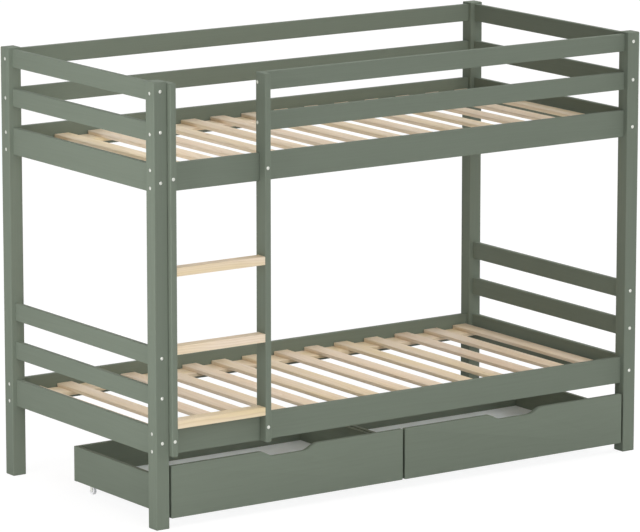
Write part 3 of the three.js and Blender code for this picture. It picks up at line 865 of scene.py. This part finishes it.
class MakeDrawers(bpy.types.Operator):
    """Shape the drawer fronts with their hand notches, and finish the drawer boxes"""

    bl_idname = "bunk_bed.make_drawers"
    bl_label = "Make Drawers"

    def execute(self, context):
        size = context.scene.bed_drawer_fronts
        for side in SIDES:
            node = f"{side}_drawer_front"
            low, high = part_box(node)
            half, top, floor = (high.x - low.x) / 2, high.z, high.z - size.notch_depth
            centre = (low.x + high.x) / 2
            curve, corner = (size.notch_curve, NOTCH_STEPS), (size.corner_curve, CORNER_STEPS)
            outline = curved_outline([
                ((centre - half, low.z), *corner),
                ((centre + half, low.z), *corner),
                ((centre + half, top), *corner),
                ((centre + size.notch_top / 2, top), *curve),
                ((centre + size.notch_floor / 2, floor), *curve),
                ((centre - size.notch_floor / 2, floor), *curve),
                ((centre - size.notch_top / 2, top), *curve),
                ((centre - half, top), *corner),
            ])
            loops = rounded_slab(
                outline, low.y, high.y, size.edge_rounding,
                lambda point, depth: Vector((point.x, depth, point.y)),
            )
            mesh = bmesh.new()
            skin_loops(mesh, loops)
            name, body = f"{side}_notched_front", f"{side}_drawer"
            piece_from(mesh, name, (painted_wood("X"),), body, (node,))
            dress(f"{side}_drawer_back", painted_wood("X"))
            dress(f"{side}_drawer_bottom", grey_board())
            for end in SIDES:
                dress(f"{side}_drawer_{end}_side", painted_wood("Y"))
        return {"FINISHED"}


class MakeCastors(bpy.types.Operator):
    """Make the castors' riveted brackets and their wheels"""

    bl_idname = "bunk_bed.make_castors"
    bl_label = "Make Castors"

    def add_plate(self, mesh, size, axle, low, high):
        """The plate under the drawer's bottom, with a rivet near each corner."""
        floor, edge_rounding = high.z - size.plate_thickness, 0.0005
        across, along = (high.x - low.x) / 2, (high.y - low.y) / 2
        outline = curved_outline([
            ((side_x * across, side_y * along), size.plate_corner, CORNER_STEPS)
            for side_x, side_y in ((-1, -1), (1, -1), (1, 1), (-1, 1))
        ])
        skin_loops(mesh, rounded_slab(
            outline, floor, high.z, edge_rounding,
            lambda point, height: Vector((axle.x + point.x, axle.y + point.y, height)),
        ))
        shift_x, shift_y = PLATE_RIVET
        for place_x in (axle.x - shift_x, axle.x + shift_x):
            for place_y in (axle.y - shift_y, axle.y + shift_y):
                dome = [circle(radius, height, RIVET_SIDES) for radius, height in PLATE_RIVET_DOME]
                skin_loops(mesh, placed_loops(dome, Vector((place_x, place_y, floor)), (0, 0, -1)))

    def add_cheeks(self, mesh, size, axle, plate_floor, wheel_half):
        """The two cheeks that hold the axle, which reach a little way into the plate."""
        lap, edge_rounding, steps = 0.0004, 0.0003, 16
        top, foot = plate_floor + lap - axle.z, size.cheek_foot
        lean = math.atan2(size.cheek_top / 2 - foot, top)
        outline = [Vector((-size.cheek_top / 2, top))]
        for step in range(steps + 1):
            turn = math.pi - lean / 2 + (math.pi + lean) * step / steps
            outline.append(Vector((foot * math.cos(turn), foot * math.sin(turn))))
        outline.append(Vector((size.cheek_top / 2, top)))
        for side in (-1, 1):
            inner = side * (wheel_half + size.cheek_play)
            outer = inner + side * size.cheek_thickness
            skin_loops(mesh, rounded_slab(
                outline, min(inner, outer), max(inner, outer), edge_rounding,
                lambda point, depth: Vector((axle.x + depth, axle.y + point.x, axle.z + point.y)),
            ))

    def add_axle(self, mesh, size, axle, wheel_half):
        """The axle, with a riveted head on the outside of each cheek."""
        end = wheel_half + size.cheek_play + size.cheek_thickness
        pin, head, height = size.axle_width / 2, size.rivet_width / 2, size.rivet_height
        half_profile = [(head * share, end + height * rise) for share, rise in AXLE_HEAD]
        half_profile += [(head, end), (pin, end)]
        profile = [(radius, -run) for radius, run in half_profile] + half_profile[::-1]
        loops = [circle(radius, run, AXLE_SIDES) for radius, run in profile]
        skin_loops(mesh, placed_loops(loops, axle, (1, 0, 0)))

    def bracket(self, context, node, name, body):
        size = context.scene.bed_castors
        low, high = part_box(node)
        wheel_low, wheel_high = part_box(node.replace("_castor_bracket", "_wheel"))
        axle = (wheel_low + wheel_high) / 2
        wheel_half = (wheel_high.x - wheel_low.x) / 2
        mesh = bmesh.new()
        self.add_plate(mesh, size, axle, low, high)
        self.add_cheeks(mesh, size, axle, high.z - size.plate_thickness, wheel_half)
        self.add_axle(mesh, size, axle, wheel_half)
        piece_from(mesh, name, (zinc_plate(),), body, (node,))

    def wheel(self, context, node, name, body):
        size = context.scene.bed_castors
        low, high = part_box(node)
        radius, face = (high.z - low.z) / 2, (high.x - low.x) / 2
        hub, rim, web = size.hub_width / 2, size.rim_inner_width / 2, face - size.web_recess
        bevel, draft = 0.0004, 0.0003
        half_profile = [
            (size.bore / 2, face), (hub - bevel, face), (hub, face - bevel), (hub + draft, web),
            (rim - draft, web), (rim, face - bevel), (rim + bevel, face),
        ]
        half_profile += [(radius - inset, face - drop) for inset, drop in TREAD_EDGE]
        profile = half_profile + [(reach, -run) for reach, run in reversed(half_profile)]
        loops = [circle(reach, run, WHEEL_SIDES) for reach, run in profile]
        mesh = bmesh.new()
        skin_loops(mesh, placed_loops(loops, (low + high) / 2, (1, 0, 0)), closed=True)
        piece_from(mesh, name, (pale_plastic(),), body, (node,))

    def execute(self, context):
        for drawer in SIDES:
            for face in FACES:
                for end in SIDES:
                    body = f"{drawer}_drawer"
                    place = f"{body}_{face}_{end}"
                    self.bracket(context, f"{place}_castor_bracket", f"{place}_bracket", body)
                    self.wheel(context, f"{place}_wheel", f"{place}_castor_wheel", f"{place}_castor")
        return {"FINISHED"}


class BuildStudio(bpy.types.Operator):
    """Lay the pale floor, and set the light and the camera"""

    bl_idname = "bunk_bed.build_studio"
    bl_label = "Build Studio"

    def floor(self, context):
        studio = context.scene.bed_studio
        mesh = bmesh.new()
        bmesh.ops.create_circle(mesh, cap_ends=True, segments=96, radius=studio.floor_radius)
        data = bpy.data.meshes.new("floor")
        mesh.to_mesh(data)
        mesh.free()
        material = bpy.data.materials.new("Pale floor")
        material.use_nodes = True
        tree = material.node_tree
        tree.nodes.clear()
        grey, shade_gain = 0.8, 1.5
        lit = add_node(tree, "ShaderNodeBsdfDiffuse", {"Color": (grey, grey, grey, 1)})
        share = shade_gain * (1 - studio.floor_glow)
        taking_shade = add_node(tree, "ShaderNodeBsdfDiffuse", {"Color": (share, share, share, 1)})
        glowing = add_node(tree, "ShaderNodeEmission", {
            "Color": (1, 1, 1, 1),
            "Strength": studio.floor_glow,
        })
        seen = add_node(tree, "ShaderNodeAddShader", {
            0: taking_shade.outputs["BSDF"],
            1: glowing.outputs["Emission"],
        })
        shader = add_node(tree, "ShaderNodeMixShader", {
            0: self.seen_directly(tree),
            1: lit.outputs["BSDF"],
            2: seen.outputs["Shader"],
        })
        add_node(tree, "ShaderNodeOutputMaterial", {"Surface": shader.outputs["Shader"]})
        data.materials.append(material)
        floor = bpy.data.objects.new("floor", data)
        context.scene.collection.objects.link(floor)

    def seen_directly(self, tree):
        """One for rays of the camera, of reflections and through glass, and zero for the rest."""
        path = add_node(tree, "ShaderNodeLightPath").outputs
        reflected = calculate(tree, "MAXIMUM", path["Is Glossy Ray"], path["Is Transmission Ray"])
        return calculate(tree, "MAXIMUM", path["Is Camera Ray"], reflected)

    def lamp(self, context, name, kind, power, place, aim):
        """Hang a lamp at a place and turn it to face another."""
        lamp = bpy.data.lights.new(name, kind)
        lamp.energy = power
        hung = bpy.data.objects.new(name, lamp)
        hung.location = place
        hung.rotation_euler = (Vector(place) - Vector(aim)).to_track_quat("Z", "Y").to_euler()
        context.scene.collection.objects.link(hung)
        return lamp

    def light(self, context):
        studio = context.scene.bed_studio
        for name, power, place, softness in (
            ("front_low_sun", studio.front_low, (-1.2, -6.0, 1.8), 30),
            ("front_high_sun", studio.front_high, (0.6, -4.8, 5.4), 50),
            ("right_sun", studio.right, (6.0, 0, 2.4), 50),
            ("back_sun", studio.back, (1.8, 6.0, 3.6), 40),
            ("overhead_sun", studio.overhead, (0, 0, 6), 50),
        ):
            self.lamp(context, name, "SUN", power, place, (0, 0, 0)).angle = math.radians(softness)
        place, aim = (-3.5, -0.5, 1.25), (0, 0, 0.6)
        panel = self.lamp(context, "left_panel", "AREA", studio.panel, place, aim)
        panel.size = studio.panel_width

    def backdrop(self, context):
        world = bpy.data.worlds.new("Studio")
        world.use_nodes = True
        tree = world.node_tree
        tree.nodes.clear()
        dark = add_node(tree, "ShaderNodeBackground", {"Color": (0, 0, 0, 1), "Strength": 1.0})
        white = add_node(tree, "ShaderNodeBackground", {"Color": (1, 1, 1, 1), "Strength": 1.0})
        shader = add_node(tree, "ShaderNodeMixShader", {
            0: self.seen_directly(tree),
            1: dark.outputs["Background"],
            2: white.outputs["Background"],
        })
        add_node(tree, "ShaderNodeOutputWorld", {"Surface": shader.outputs["Shader"]})
        context.scene.world = world

    def camera(self, context):
        studio = context.scene.bed_studio
        data = bpy.data.cameras.new("photo_camera")
        data.sensor_fit = "HORIZONTAL"
        data.sensor_width = 36
        data.lens = studio.camera_lens
        data.clip_start = 0.1
        data.clip_end = 200
        camera = bpy.data.objects.new("photo_camera", data)
        camera.location = studio.camera_place
        camera.rotation_euler = (math.pi / 2 - studio.camera_tilt, 0, -studio.camera_turn)
        context.scene.collection.objects.link(camera)
        context.scene.camera = camera

    def execute(self, context):
        self.floor(context)
        self.light(context)
        self.backdrop(context)
        self.camera(context)
        context.scene.view_settings.view_transform = "Standard"
        return {"FINISHED"}


class BunkBedPanel(bpy.types.Panel):
    """The bed's sizes, colours and steps"""

    bl_idname = "VIEW3D_PT_bunk_bed"
    bl_label = "Bunk Bed with Drawers"
    bl_space_type = "VIEW_3D"
    bl_region_type = "UI"
    bl_category = "Bunk Bed"

    def draw(self, context):
        layout = self.layout
        layout.use_property_split = True
        for name, group, steps in PANEL_ROWS:
            box = layout.box()
            box.label(text=name)
            settings = getattr(context.scene, group)
            for setting in settings.bl_rna.properties:
                if setting.identifier not in ("rna_type", "name"):
                    box.prop(settings, setting.identifier)
            for step in steps:
                box.operator(step.bl_idname)


GROUPS = {
    "bed_finishes": BedFinishes,
    "bed_fasteners": BedFasteners,
    "bed_slats": BedSlats,
    "bed_drawer_fronts": BedDrawerFronts,
    "bed_castors": BedCastors,
    "bed_studio": BedStudio,
}
STEPS = (
    PaintFrame, FinishRungs, MakeSlattedBases, MakeFrameBolts, MakeRungScrews, MakeDrawers, MakeCastors,
    BuildStudio,
)
PANEL_ROWS = (
    ("Finishes", "bed_finishes", (PaintFrame, FinishRungs)),
    ("Slatted bases", "bed_slats", (MakeSlattedBases,)),
    ("Fasteners", "bed_fasteners", (MakeFrameBolts, MakeRungScrews)),
    ("Drawers", "bed_drawer_fronts", (MakeDrawers,)),
    ("Castors", "bed_castors", (MakeCastors,)),
    ("Studio", "bed_studio", (BuildStudio,)),
)


def register():
    for group in GROUPS.values():
        bpy.utils.register_class(group)
    for name, group in GROUPS.items():
        setattr(bpy.types.Scene, name, bpy.props.PointerProperty(type=group))
    for step in STEPS:
        bpy.utils.register_class(step)
    bpy.utils.register_class(BunkBedPanel)


def unregister():
    bpy.utils.unregister_class(BunkBedPanel)
    for step in reversed(STEPS):
        bpy.utils.unregister_class(step)
    for name in GROUPS:
        delattr(bpy.types.Scene, name)
    for group in reversed(list(GROUPS.values())):
        bpy.utils.unregister_class(group)


def main():
    register()
    bpy.ops.bunk_bed.paint_frame()
    bpy.ops.bunk_bed.finish_rungs()
    bpy.ops.bunk_bed.make_slatted_bases()
    bpy.ops.bunk_bed.make_frame_bolts()
    bpy.ops.bunk_bed.make_rung_screws()
    bpy.ops.bunk_bed.make_drawers()
    bpy.ops.bunk_bed.make_castors()
    bpy.ops.bunk_bed.build_studio()
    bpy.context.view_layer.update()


if __name__ == "__main__":
    main()
